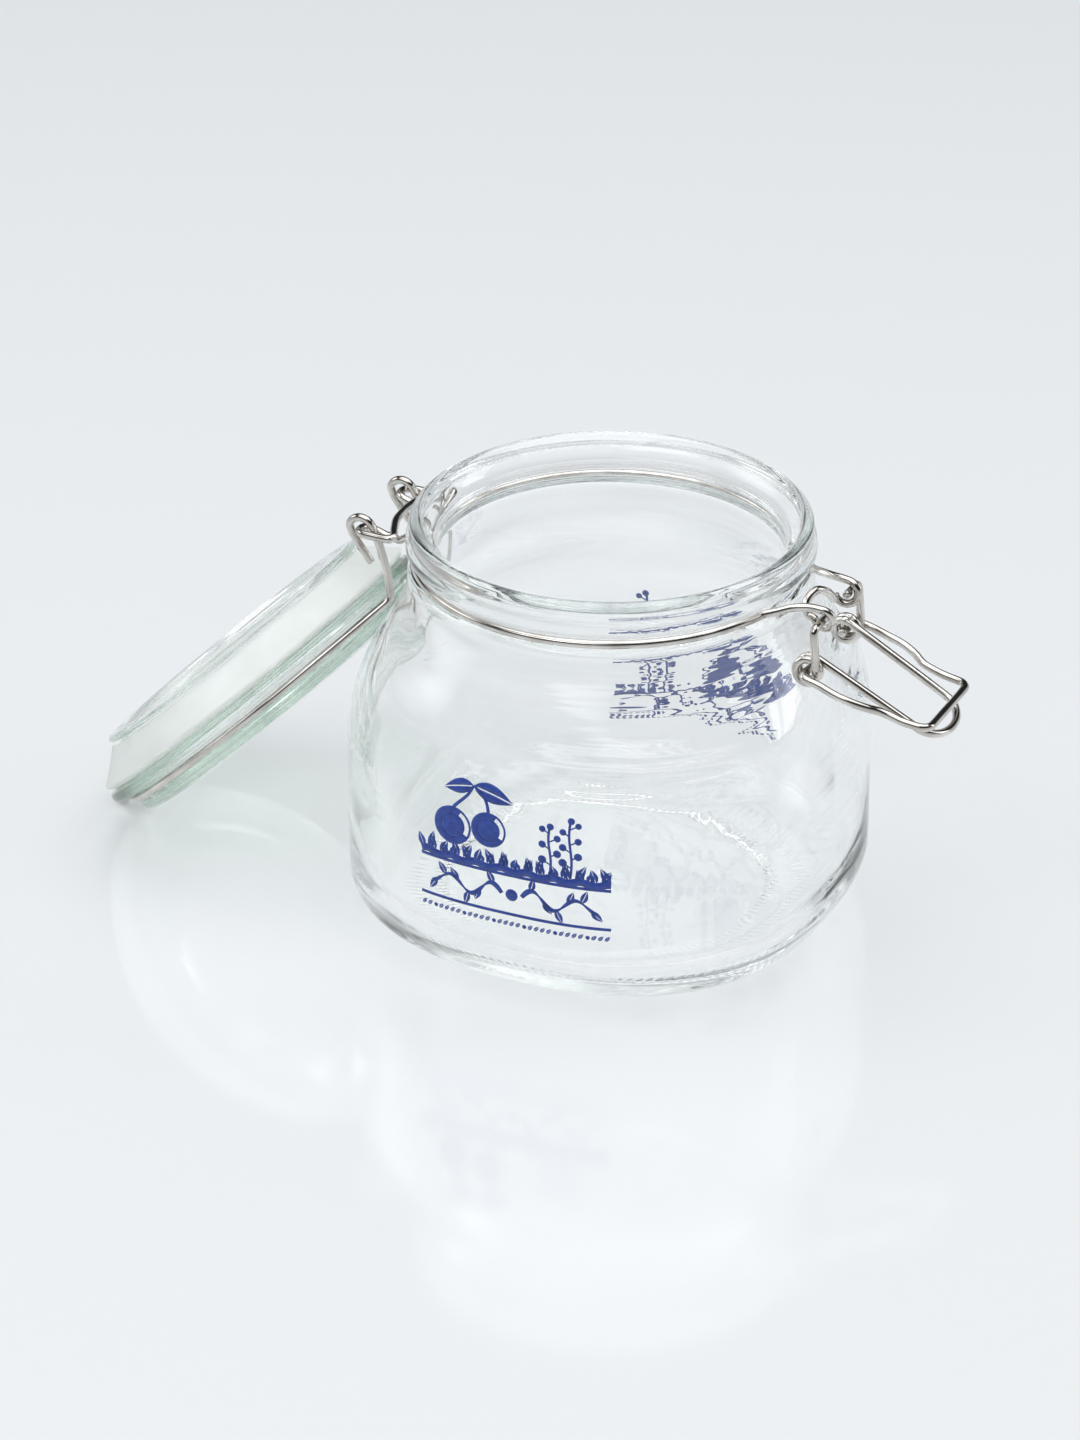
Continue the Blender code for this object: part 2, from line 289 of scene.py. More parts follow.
# Lamps, in metres and watts: (name, place, aim, size, power, feathered)
LAMPS = [
    ("top_box", (0.1, 0.1, 1.5), (0, 0, 0), (1.6, 1.6), 12.0, False),
    ("left_box", (-1.5, -0.3, 0.9), (0, 0, 0.05), (1.4, 1.0), 11.0, True),
    ("front_box", (-0.28, -1.06, 1.3), (0, 0, 0.07), (1.6, 0.6), 10.0, True),
    ("right_box", (1.4, 0.9, 0.8), (0, 0, 0.05), (0.6, 1.0), 4.0, False),
]
TABLE_HALF = 4.0
TABLE_GAP = 0.0001

# Camera, in degrees and metres. It aims at a point on the jar's axis, moved sideways in the picture.
CAMERA_AZIMUTH = 24.8
CAMERA_ELEVATION = 27.8
CAMERA_DISTANCE = 1.6
CAMERA_AIM_Z = 0.04503
CAMERA_AIM_SIDEWAYS = -0.01604
CAMERA_LENS = 176.0
CAMERA_SENSOR = 36.0
CAMERA_CLIP = (0.05, 20.0)

# Thick glass turns light round many times before letting it out
GLOSSY_BOUNCES = 24
TRANSMISSION_BOUNCES = 32
MOST_BOUNCES = 32

# ---------------------------------------------------------------- paths


def rounded(corners, radii, turn=9.0):
    """A run of straight lengths with each inner corner rounded off to its radius."""
    out = [corners[0]]
    for i in range(1, len(corners) - 1):
        before, here, after = corners[i - 1], corners[i], corners[i + 1]
        back = (before - here).normalized()
        ahead = (after - here).normalized()
        inner = back.angle(ahead)
        if radii[i] <= 0.0 or inner > math.pi - 0.01:
            out.append(here)
            continue
        reach = radii[i] / math.tan(inner / 2)
        longest = CORNER_SHARE * min((before - here).length, (after - here).length)
        reach = min(reach, longest)
        radius = reach * math.tan(inner / 2)
        start = here + back * reach
        middle = here + (back + ahead).normalized() * (radius / math.sin(inner / 2))
        x_axis = (start - middle).normalized()
        end = here + ahead * reach - middle
        y_axis = (end - x_axis * end.dot(x_axis)).normalized()
        sweep = math.pi - inner
        steps = max(3, math.ceil(math.degrees(sweep) / turn))
        for step in range(steps + 1):
            angle = sweep * step / steps
            out.append(middle + (x_axis * math.cos(angle) + y_axis * math.sin(angle)) * radius)
    out.append(corners[-1])
    return out


def through(points, per=8):
    """A smooth run through every point."""
    full = [points[0] * 2 - points[1]] + points + [points[-1] * 2 - points[-2]]
    out = []
    for i in range(1, len(full) - 2):
        a, b, c, d = full[i - 1], full[i], full[i + 1], full[i + 2]
        for step in range(per):
            t = step / per
            square = (a * 2 - b * 5 + c * 4 - d) * t * t
            cube = (b * 3 - a - c * 3 + d) * t * t * t
            out.append((b * 2 + (c - a) * t + square + cube) * 0.5)
    out.append(points[-1])
    return out


def around(radius, angle, height):
    """A point about the jar's axis."""
    return Vector((radius * math.cos(angle), radius * math.sin(angle), height))


def arc_level(radius, height, start, end, step=2.0):
    """Part of a level circle about the jar's axis."""
    count = max(1, round(abs(end - start) / step))
    angles = [math.radians(start + (end - start) * i / count) for i in range(count + 1)]
    return [around(radius, angle, height) for angle in angles]


def mirrored(points):
    """The same run on the +Y side, back to front."""
    return [Vector((p.x, -p.y, p.z)) for p in reversed(points)]


def opened(point):
    """Swings a point of the closed lid round the hinge to where it hangs."""
    angle = math.radians(OPEN_ANGLE)
    x = point.x - HINGE.x
    z = point.z - HINGE.z
    return Vector(
        (
            HINGE.x + x * math.cos(angle) - z * math.sin(angle),
            point.y,
            HINGE.z + x * math.sin(angle) + z * math.cos(angle),
        )
    )


def ring_of(centre, radius, y_from, y_to, start, end, step=10.0):
    """Part of a coil about a line parallel to Y."""
    count = max(1, round(abs(end - start) / step))
    out = []
    for i in range(count + 1):
        angle = math.radians(start + (end - start) * i / count)
        y = y_from + (y_to - y_from) * i / count
        out.append(Vector((centre.x + radius * math.cos(angle), y, centre.z + radius * math.sin(angle))))
    return out


def eased(path, amount=0.35, rounds=2):
    """Takes the last trace of stiffness out of a path's joins, ends kept."""
    for _ in range(rounds):
        held = list(path)
        for i in range(1, len(path) - 1):
            path[i] = held[i] * (1 - amount) + (held[i - 1] + held[i + 1]) * (amount / 2)
    return path


def neck_wire_path():
    """From the far latch eye round the back, through both hinge eyes, to the near latch eye and its arch."""
    run_out = through(
        [
            Vector((42.5, -13.2, NECK_WIRE_Z)),
            Vector((45.1, -11.4, 87.5)),
            Vector((47.7, -9.7, 88.1)),
            Vector((50.3, -8.6, 88.4)),
            Vector((52.6, -8.1, 88.5)),
        ]
    )
    ring = ring_of(EYE, EYE_R, -8.0, -6.0, 90, -165)
    arch = through(
        [
            Vector((50.4, -5.5, 84.8)),
            Vector((49.4, -4.9, 86.9)),
            Vector((49.6, -3.2, 88.6)),
            Vector((50.4, -1.0, 89.2)),
            Vector((51.3, 1.0, 88.4)),
            Vector((52.0, 2.7, 87.0)),
            Vector((52.6, 3.9, 85.1)),
        ]
    )
    hinge_eye = rounded(
        [
            Vector((-51.6, 0.0, 87.9)),
            Vector((-51.2, -5.5, 87.5)),
            Vector((-49.6, -9.6, 86.9)),
            Vector((-48.0, -EYE_OUT_Y, 86.4)),
            Vector((-52.0, -EYE_OUT_Y, 86.3)),
            Vector((HINGE.x, -EYE_OUT_Y, EYE_BAR_Z)),
            Vector((HINGE.x, -EYE_IN_Y, EYE_BAR_Z)),
            Vector((-52.4, -EYE_IN_Y, 84.8)),
            Vector((-48.6, -8.7, 84.4)),
            Vector((-45.9, -9.8, 86.3)),
            Vector((-43.08, -11.14, NECK_WIRE_Z)),
        ],
        [0, 9.0, 9.0, 1.7, 9.0, 2.3, 2.3, 4.0, 2.0, 2.0, 0],
    )
    side = arc_level(NECK_WIRE_R, NECK_WIRE_Z, -165.5, -17.3)
    near_half = hinge_eye + side[1:-1] + run_out + ring + arch
    far_half = mirrored(run_out + ring) + mirrored(hinge_eye + side[1:-1])
    return far_half + near_half[1:]


def lid_wire_path():
    """Hook, climb to the lid's groove, near side, catch, far side, and the second hook."""
    level = LID_Z + LID_WIRE_HEIGHT
    near_y = -CATCH_Y - CATCH_HALF
    far_y = -CATCH_Y + CATCH_HALF
    catch = rounded(
        [
            Vector((38.5, near_y - 5.0, level)),
            Vector((40.2, near_y, level)),
            Vector((44.6, near_y, level - 0.2)),
            Vector((CATCH_R, near_y, level - CATCH_DROP)),
            Vector((CATCH_R, far_y, level - CATCH_DROP)),
            Vector((44.6, far_y, level - 0.2)),
            Vector((41.9, far_y, level)),
            Vector((40.9, far_y + 5.0, level)),
        ],
        [0, 0.9, 1.5, 1.7, 1.7, 1.5, 0.9, 0],
    )
    near_side = arc_level(LID_WIRE_R, level, -129.5, -20.0)
    far_side = arc_level(LID_WIRE_R, level, 5.0, 129.5)
    end = rounded(
        [
            Vector((-54.9, -HOOK_Y, 78.6)),
            Vector((-57.7, -HOOK_Y, 82.2)),
            Vector((-60.2, -HOOK_Y, 85.4)),
        ],
        [0, 9.0, 0],
    )
    end += ring_of(HOOK, HOOK_R, -HOOK_Y, -HOOK_Y, 165, 15)
    climb = rounded(
        [
            end[-1],
            Vector((-52.9, -HOOK_Y, 83.9)),
            Vector((-50.7, -HOOK_Y, 76.0)),
            Vector((-49.9, -HOOK_Y, 70.3)),
            opened(near_side[0]),
        ],
        [0, 9.0, 9.0, 2.2, 0],
    )
    end += climb[1:-1]
    return end + [opened(p) for p in near_side + catch[1:-1] + far_side] + mirrored(end)


def lever_path():
    """Pin, nearly two turns of coil, leg, and the rounded finger end, then the same back."""
    run = rounded(
        [
            Vector((LEVER_AXIS.x, -6.0, LEVER_AXIS.z)),
            Vector((LEVER_AXIS.x, -COIL_OUT_Y, LEVER_AXIS.z)),
            Vector((COIL.x + COIL_R, -COIL_OUT_Y, COIL.z)),
        ],
        [0, 1.6, 0],
    )[:-1]
    run += ring_of(COIL, COIL_R, -COIL_OUT_Y, -COIL_IN_Y, 0, -COIL_SWEEP)
    slope = math.radians(-LEVER_SLOPE)
    ahead = Vector((math.cos(slope), 0.0, math.sin(slope)))
    middle = Vector((run[-1].x, 0.0, run[-1].z)) + ahead * LEVER_LEG
    steps = 14
    for i in range(steps + 1):
        angle = math.pi / 2 * i / steps
        across = Vector((0.0, -LEVER_END_Y * math.cos(angle), 0.0))
        run.append(middle + ahead * (LEVER_END_DEPTH * math.sin(angle)) + across)
    return run + mirrored(run[:-1])


def bail_path():
    """Pin, bent leg, and the square end, then the same back."""
    leg = through(
        [
            Vector((57.2, -15.5, 73.7)),
            Vector((60.9, -15.7, 72.3)),
            Vector((64.6, -15.5, 71.2)),
            Vector((68.0, -14.4, 70.0)),
            Vector((71.2, -12.6, 68.7)),
            Vector((76.0, -12.3, 67.2)),
        ]
    )
    pin = rounded(
        [Vector((COIL.x, -8.0, COIL.z)), Vector((COIL.x, -15.4, COIL.z)), leg[0]],
        [0, 1.6, 0],
    )
    corner = rounded(
        [leg[-1], Vector((BAIL_BAR_X, -12.0, BAIL_BAR_Z)), Vector((BAIL_BAR_X, 0.0, BAIL_BAR_Z))],
        [0, 2.6, 0],
    )
    near = pin[:-1] + leg + corner[1:]
    return near + mirrored(near[:-1])


# ---------------------------------------------------------------- meshes


def add_mesh(name, points, faces):
    """A smooth-shaded object from points in millimetres."""
    mesh = bpy.data.meshes.new(name)
    mesh.from_pydata([tuple(p * M) for p in points], [], faces)
    mesh.validate()
    for face in mesh.polygons:
        face.use_smooth = True
    obj = bpy.data.objects.new(name, mesh)
    bpy.context.scene.collection.objects.link(obj)
    return obj


def closed_stack(name, rings, first, last):
    """A closed solid from rings of equal count, with a middle point at each end."""
    sides = len(rings[0])
    points = [first] + [p for ring in rings for p in ring] + [last]
    faces = [(0, 1 + (i + 1) % sides, 1 + i) for i in range(sides)]
    for r in range(len(rings) - 1):
        low = 1 + r * sides
        for i in range(sides):
            j = (i + 1) % sides
            faces.append((low + i, low + j, low + sides + j, low + sides + i))
    top = 1 + (len(rings) - 1) * sides
    faces += [(top + i, top + (i + 1) % sides, len(points) - 1) for i in range(sides)]
    return add_mesh(name, points, faces)


def wire(name, path):
    """A round drawn wire with eased cut ends."""
    spaced = [path[0]]
    for p in path[1:]:
        if (p - spaced[-1]).length > WIRE_GAP:
            spaced.append(p)
    path = eased(spaced)
    lengths = [path[i + 1] - path[i] for i in range(len(path) - 1)]
    tangents = [lengths[0].normalized()]
    for i in range(1, len(path) - 1):
        tangents.append((lengths[i - 1].normalized() + lengths[i].normalized()).normalized())
    tangents.append(lengths[-1].normalized())
    side = tangents[0].orthogonal().normalized()
    frames = []
    for i in range(len(path)):
        if i:
            side = tangents[i - 1].rotation_difference(tangents[i]) @ side
            side = (side - tangents[i] * side.dot(tangents[i])).normalized()
        frames.append((path[i], side, tangents[i].cross(side)))

    def ring(frame_at, radius, shift):
        here, u, v = frame_at
        along = u.cross(v)
        out = []
        for k in range(WIRE_SIDES):
            angle = 2 * math.pi * k / WIRE_SIDES
            out.append(here + (u * math.cos(angle) + v * math.sin(angle)) * radius + along * shift)
        return out

    rings = [ring(frames[0], WIRE_R * share, -past) for share, past in CUT_END]
    rings += [ring(f, WIRE_R, 0.0) for f in frames]
    rings += [ring(frames[-1], WIRE_R * share, past) for share, past in reversed(CUT_END)]
    furthest = CUT_END[0][1]
    first = path[0] - tangents[0] * furthest
    last = path[-1] + tangents[-1] * furthest
    return closed_stack(name, rings, first, last)


def held_back(slope, rise):
    """A slope that can't carry a curve past either end of its rise."""
    out = []
    for s, r in zip(slope, rise):
        way = math.copysign(1.0, r)
        out.append(way * max(0.0, min(s * way, 3.0 * abs(r))))
    return Vector(out)


def finer(profile, per):
    """More rows through the same profile, per to each one given, without overshoot."""
    rows = [Vector(row) for row in profile]
    out = []
    for i in range(len(rows) - 1):
        a = rows[max(i - 1, 0)]
        b, c = rows[i], rows[i + 1]
        d = rows[min(i + 2, len(rows) - 1)]
        before, here, after = (b - a).length, (c - b).length, (d - c).length
        start = (c - b) if before < 1e-6 else ((b - a) / before + (c - b) / here) * 0.5 * here
        end = (c - b) if after < 1e-6 else ((c - b) / here + (d - c) / after) * 0.5 * here
        start = held_back(start, c - b)
        end = held_back(end, c - b)
        for step in range(per):
            t = step / per
            h0 = 2 * t ** 3 - 3 * t * t + 1
            h1 = t ** 3 - 2 * t * t + t
            h2 = 3 * t * t - 2 * t ** 3
            h3 = t ** 3 - t * t
            out.append(b * h0 + start * h1 + c * h2 + end * h3)
    out.append(rows[-1])
    return out


def half_width(half, power, angle):
    """Distance from the axis to a softly squared outline, whose squareness is the power."""
    c = abs(math.cos(angle))
    s = abs(math.sin(angle))
    return half / (c ** power + s ** power) ** (1 / power)


def stipple(half, angle):
    """Rise of the stipple under the jar."""
    row = sum(math.exp(-(((half - middle) / spread) ** 2)) for middle, spread in STIPPLE_ROWS)
    return STIPPLE_RISE * row * (0.5 - 0.5 * math.cos(angle * KNURLS))


def seam(angle):
    """Rise of the parting lines."""
    off = (math.degrees(angle) + SEAM_AT) % 180.0
    off = min(off, 180.0 - off)
    return SEAM_RISE * math.exp(-(off / SEAM_SPREAD) ** 2)


def clamped(value):
    return max(0.0, min(1.0, value))


def wander(angle, z):
    """How far the inner wall strays outward."""
    return sum(size * math.sin(waves * angle + start + z * twist) for size, waves, start, twist in WANDER)


def make_jar():
    """Outside from the middle of the base up to the rim, then the inside back down to the floor."""
    rings = []
    angles = [2 * math.pi * i / JAR_SIDES for i in range(JAR_SIDES)]
    for z, half, power in finer(JAR_UNDER + JAR_OUTSIDE, OUTER_STEPS):
        stippled = STIPPLE_REACH[0] < half < STIPPLE_REACH[1] and z < STIPPLE_TOP
        ring = []
        for angle in angles:
            radius = half_width(half, power, angle)
            height = z + stipple(half, angle) if stippled else z
            if z > SEAM_FOOT:
                radius += seam(angle) * min(1.0, (z - SEAM_FOOT) / SEAM_FADE)
            ring.append(around(radius, angle, height))
        rings.append(ring)
    for z, half, power in finer(JAR_INSIDE, INNER_STEPS):
        fade = clamped((WANDER_TOP - z) / WANDER_TOP_FADE) * clamped((z - WANDER_FOOT) / WANDER_FOOT_FADE)
        ring = []
        for angle in angles:
            radius = half_width(half, power, angle) + wander(angle, z) * fade
            ring.append(around(radius, angle, z))
        rings.append(ring)
    return closed_stack("jar_glass", rings, Vector((0, 0, PUSH_UP_Z)), Vector((0, 0, FLOOR_Z)))


def make_lid():
    """Drawn closed, outside from the top down and then the inside up, and swung open."""
    rings = []
    for height, radius in finer(LID_OUTSIDE, INNER_STEPS) + finer(LID_INSIDE, INNER_STEPS):
        ring = []
        for i in range(LID_SIDES):
            angle = -2 * math.pi * i / LID_SIDES
            ring.append(opened(around(radius, angle, LID_Z + height)))
        rings.append(ring)
    first = opened(Vector((0, 0, LID_Z + LID_OUTSIDE[0][0])))
    last = opened(Vector((0, 0, LID_Z + LID_INSIDE[-1][0])))
    return closed_stack("lid_glass_shown", rings, first, last)


def make_gasket():
    """A sloping band turned about the lid's axis, with softened edges."""
    points = []
    for s in range(GASKET_SIDES):
        angle = 2 * math.pi * s / GASKET_SIDES
        for height, radius in GASKET:
            points.append(opened(around(radius, angle, LID_Z + height)))
    size = len(GASKET)
    faces = []
    for s in range(GASKET_SIDES):
        here = s * size
        there = (s + 1) % GASKET_SIDES * size
        for i in range(size):
            j = (i + 1) % size
            faces.append((here + i, there + i, there + j, here + j))
    obj = add_mesh("gasket_ring", points, faces)
    bevel = obj.modifiers.new("soft_edges", "BEVEL")
    bevel.width = GASKET_EDGE * M
    bevel.segments = 2
    bevel.limit_method = "ANGLE"
    bevel.angle_limit = math.radians(GASKET_CREASE)
    return obj


# ---------------------------------------------------------------- printed enamel


FACE_ROWS = finer(JAR_OUTSIDE, OUTER_STEPS)


def face_y(x, z):
    """Outer surface of the -Y face at a height, as a positive distance from the axis."""
    for low, high in zip(FACE_ROWS, FACE_ROWS[1:]):
        if low[0] <= z <= high[0]:
            t = (z - low[0]) / (high[0] - low[0])
            half = low[1] + (high[1] - low[1]) * t
            power = low[2] + (high[2] - low[2]) * t
            return (half ** power - abs(x) ** power) ** (1 / power)


class Print:
    """Flat shapes gathered in the plane of the face, then laid on the glass."""

    def __init__(self):
        self.points = []
        self.faces = []

    def band(self, base, count):
        """Faces along count steps of points that stand three across, from the point numbered base."""
        for i in range(count):
            a = base + i * 3
            self.faces += [(a, a + 1, a + 4, a + 3), (a + 1, a + 2, a + 5, a + 4)]

    def strip(self, line, widths):
        """A band along a line of (x, z) points, with a width at each point."""
        base = len(self.points)
        count = len(line)
        for i, (x, z) in enumerate(line):
            ax, az = line[max(i - 1, 0)]
            bx, bz = line[min(i + 1, count - 1)]
            length = math.hypot(bx - ax, bz - az) or 1.0
            nx, nz = -(bz - az) / length, (bx - ax) / length
            w = widths[i] / 2
            self.points += [(x + nx * w, z + nz * w), (x, z), (x - nx * w, z - nz * w)]
        self.band(base, count - 1)

    def rule(self, z):
        """A level line across the print."""
        steps = 40
        line = [(PRINT_LEFT + (PRINT_RIGHT - PRINT_LEFT) * i / steps, z) for i in range(steps + 1)]
        self.strip(line, [RULE_WIDTH] * len(line))

    def leaf(self, x, z, angle, length, width, bend=0.0):
        """A pointed leaf split by its midrib."""
        c, s = math.cos(angle), math.sin(angle)
        rib = MIDRIB * width
        steps = 12
        for sign in (-1, 1):
            base = len(self.points)
            for i in range(steps + 1):
                t = i / steps
                u = t * length
                spine = bend * length * t * t
                mid = spine + sign * rib
                edge = spine + sign * width / 2 * math.sin(math.pi * t ** 0.8) ** 0.9
                if abs(edge - spine) < rib:
                    edge = mid
                for v in (mid, (mid + edge) / 2, edge):
                    self.points.append((x + c * u - s * v, z + s * u + c * v))
            self.band(base, steps)

    def disc(self, x, z, radius, inner=0.0, start=0.0, end=360.0):
        """A disc, ring or sector."""
        base = len(self.points)
        large = radius > 2
        rows = 4 if large else 2
        turn = 9 if large else 24
        steps = max(8, int(abs(end - start) / turn))
        for i in range(steps + 1):
            angle = math.radians(start + (end - start) * i / steps)
            for r in range(rows + 1):
                rr = inner + (radius - inner) * r / rows
                self.points.append((x + rr * math.cos(angle), z + rr * math.sin(angle)))
        size = rows + 1
        for i in range(steps):
            for r in range(rows):
                a = base + i * size + r
                self.faces.append((a, a + 1, a + size + 1, a + size))

    def lay(self, name, side):
        """Lays the shapes on the -Y face (side -1) or, turned half round, on the +Y face (side 1)."""
        points = []
        for x, z in self.points:
            y = face_y(x, z) + ENAMEL_PROUD
            points.append(Vector((-side * x, side * y, z)))
        obj = add_mesh(name, points, self.faces)
        thick = obj.modifiers.new("enamel_thickness", "SOLIDIFY")
        thick.thickness = ENAMEL_THICK * M
        thick.offset = 0.0
        return obj


def draw_cherries(p):
    """Cherries, each with a crescent left clear, on stems from one leafy knot."""
    steps = 12
    for x, z, radius in CHERRIES:
        p.disc(x, z, radius * 0.66)
        p.disc(x, z, radius, radius * 0.60, 60, 330)
        p.disc(x, z, radius, radius * 0.88, -30, 60)
        top = z + radius * 0.9
        stem = []
        for i in range(steps + 1):
            t = i / steps
            bow = 0.9 * math.sin(math.pi * t)
            stem.append((x + (KNOT_X - x) * t + bow, top + (KNOT_Z - top) * t ** 0.8))
        p.strip(stem, [0.85 - 0.02 * i for i in range(steps + 1)])
    p.leaf(KNOT_X, KNOT_Z - 0.2, math.radians(-8), 10.0, 4.4, -0.1)
    p.leaf(KNOT_X, KNOT_Z - 0.2, math.radians(188), 7.6, 3.6, 0.1)


def draw_hedge(p):
    """A wavy bank of leaves along the upper rule."""
    bank = [(PRINT_LEFT + i * 0.5, 34.6 + 0.35 * math.sin(i * 0.5)) for i in range(93)]
    p.strip(bank, [1.9] * len(bank))
    for i in range(31):
        lean = 68 if i % 2 else 112
        tall = 3.6 + 0.9 * math.sin(i * 1.1) + 0.5 * math.sin(i * 2.3)
        p.leaf(-20.8 + i * 1.5, HEDGE_FOOT, math.radians(lean + 8 * math.sin(i * 1.7)), tall, 1.9)


def draw_sprigs(p):
    """Upright sprigs with berries on both sides and one on top."""
    steps = 12
    for foot, berries in SPRIGS:
        tall = 2.1 * berries + 1.2
        stem = [(foot + 0.3 * math.sin(i * 0.5), SPRIG_FOOT + tall * i / steps) for i in range(steps + 1)]
        p.strip(stem, [0.6] * len(stem))
        for i in range(berries):
            x = foot + (1 if i % 2 else -1) * 1.75
            z = 39.2 + 1.9 * i
            p.disc(x, z, 1.0 - 0.05 * i)
            stalk = [(foot + (x - foot) * t / 4, z - 1.0 * (1 - t / 4)) for t in range(5)]
            p.strip(stalk, [0.35] * len(stalk))
        p.disc(foot + 0.1, SPRIG_FOOT + tall + 0.4, 0.85)


def draw_scroll(p):
    """A waving leafy stem to each side of a dot, between the rules."""

    def along(sign, t):
        wave = 2.2 * math.sin(t * 3.4 * math.pi) * (1 - 0.4 * t)
        return SCROLL_X + sign * (2.4 + 17.6 * t), SCROLL_Z + wave

    steps = 60
    for sign in (-1, 1):
        line = []
        widths = []
        for i in range(steps + 1):
            t = i / steps
            line.append(along(sign, t))
            widths.append(0.45 + 0.9 * abs(math.sin(t * 3.4 * math.pi + 0.6)) * (1 - 0.5 * t))
        p.strip(line, widths)
        for t, lean in SCROLL_LEAVES:
            x, z = along(sign, t)
            angle = math.radians(lean if sign > 0 else 180 - lean)
            p.leaf(x, z, angle, 3.4, 1.7, 0.1)
    p.disc(SCROLL_X, SCROLL_Z, 1.5)


def draw_seeds(p):
    """A row of slanting seeds under the lower rule, with a dot in every five."""
    for i in range(SEEDS):
        if i % 5 == 2:
            p.disc(-20.6 + i * SEED_PITCH, 21.1, 0.5)
        else:
            p.leaf(-21.2 + i * SEED_PITCH, 20.6, math.radians(48), 1.7, 0.85)


def draw_print():
    """Cherries on a leafy hedge over a rule, a leafy scroll, a second rule and a row of seeds."""
    p = Print()
    p.rule(UPPER_RULE_Z)
    p.rule(LOWER_RULE_Z)
    draw_cherries(p)
    draw_hedge(p)
    draw_sprigs(p)
    draw_scroll(p)
    draw_seeds(p)
    return p


# ---------------------------------------------------------------- materials


def new_material(name):
    material = bpy.data.materials.new(name)
    material.use_nodes = True
    tree = material.node_tree
    return material, tree, tree.nodes["Principled BSDF"]


def set_inputs(node, values):
    for name, value in values.items():
        node.inputs[name].default_value = value


def coordinates(tree, kind="Object"):
    return tree.nodes.new("ShaderNodeTexCoord").outputs[kind]


def axes(tree, place):
    """The X, Y and Z of a place."""
    split = tree.nodes.new("ShaderNodeSeparateXYZ")
    tree.links.new(place, split.inputs["Vector"])
    return split.outputs


def maths(tree, operation, first, second):
    node = tree.nodes.new("ShaderNodeMath")
    node.operation = operation
    for socket, value in zip(node.inputs, (first, second)):
        if isinstance(value, float):
            socket.default_value = value
        else:
            tree.links.new(value, socket)
    return node.outputs["Value"]


def window(tree, value, start, end, low=0.0, high=1.0):
    """low before start, high past end, and an even blend between."""
    node = tree.nodes.new("ShaderNodeMapRange")
    set_inputs(node, {"From Min": start, "From Max": end, "To Min": low, "To Max": high})
    tree.links.new(value, node.inputs["Value"])
    return node.outputs["Result"]


def noise(tree, scale, detail, grain=None, turn=0.0):
    """Noise over the object. grain is how long its features are along each axis, turned about Y by turn."""
    place = coordinates(tree)
    if grain:
        mapping = tree.nodes.new("ShaderNodeMapping")
        mapping.vector_type = "TEXTURE"
        set_inputs(mapping, {"Scale": grain, "Rotation": (0.0, turn, 0.0)})
        tree.links.new(place, mapping.inputs["Vector"])
        place = mapping.outputs["Vector"]
    tex = tree.nodes.new("ShaderNodeTexNoise")
    set_inputs(tex, {"Scale": scale, "Detail": detail})
    tree.links.new(place, tex.inputs["Vector"])
    return tex.outputs["Fac"]


def ramp(tree, source, low, high, at=(0.35, 0.65)):
    """A colour from low to high, as source goes between the two places in at."""
    node = tree.nodes.new("ShaderNodeValToRGB")
    for element, place, colour in zip(node.color_ramp.elements, at, (low, high)):
        element.position = place
        element.color = (*colour, 1.0)
    tree.links.new(source, node.inputs["Fac"])
    return node.outputs["Color"]


def roughness(tree, shader, source, low, high, start=0.0, end=1.0):
    """Roughness from low to high, as source goes from start to end."""
    tree.links.new(window(tree, source, start, end, low, high), shader.inputs["Roughness"])


def bump(tree, shader, source, distance, strength):
    node = tree.nodes.new("ShaderNodeBump")
    set_inputs(node, {"Strength": strength, "Distance": distance})
    tree.links.new(source, node.inputs["Height"])
    tree.links.new(node.outputs["Normal"], shader.inputs["Normal"])


def let_through(tree, shader, shade):
    """Rays on their way to a lamp pass straight through, a little dimmed."""
    clear = tree.nodes.new("ShaderNodeBsdfTransparent")
    clear.inputs["Color"].default_value = (*shade, 1.0)
    path = tree.nodes.new("ShaderNodeLightPath")
    mix = tree.nodes.new("ShaderNodeMixShader")
    tree.links.new(path.outputs["Is Shadow Ray"], mix.inputs[0])
    tree.links.new(shader.outputs["BSDF"], mix.inputs[1])
    tree.links.new(clear.outputs["BSDF"], mix.inputs[2])
    tree.links.new(mix.outputs["Shader"], tree.nodes["Material Output"].inputs["Surface"])


def dragged_patch(tree):
    """1 where the jar's glass was dragged, under the neck on the latch side, and 0 elsewhere."""
    place = axes(tree, coordinates(tree))
    patch = 1.0
    for axis, start, full in DRAGGED:
        patch = maths(tree, "MULTIPLY", patch, window(tree, place[axis], start, full))
    return patch


def glass(name, tint, absorb, density, wave, shade, turn=0.0, drag=0.0):
    """Pressed clear glass: flat ripples running round it, a few rubbed spots, and colour in its depth.

    Where the glass was dragged, the ripples grow by drag times their height. Lamps reach what is behind
    the glass, so its shadow stays light.
    """
    material, tree, shader = new_material(name)
    set_inputs(shader, {"Transmission Weight": 1.0, "IOR": 1.5})
    slow = noise(tree, 34.0, 2.0, (1.25, 1.25, 0.6), turn)
    streak = noise(tree, 60.0, 1.0, (2.0, 2.0, 0.14), turn)
    deep = RIPPLE
    if drag:
        deep = maths(tree, "ADD", maths(tree, "MULTIPLY", dragged_patch(tree), drag * RIPPLE), RIPPLE)
    ripple = maths(tree, "MULTIPLY", streak, deep)
    bump(tree, shader, maths(tree, "ADD", ripple, slow), wave, 0.6)
    roughness(tree, shader, noise(tree, 130.0, 3.0), 0.0, 0.04, start=0.66, end=0.85)
    tree.links.new(ramp(tree, slow, tint, (1.0, 1.0, 1.0)), shader.inputs["Base Color"])
    volume = tree.nodes.new("ShaderNodeVolumeAbsorption")
    set_inputs(volume, {"Color": (*absorb, 1.0), "Density": density})
    tree.links.new(volume.outputs["Volume"], tree.nodes["Material Output"].inputs["Volume"])
    let_through(tree, shader, shade)
    return material


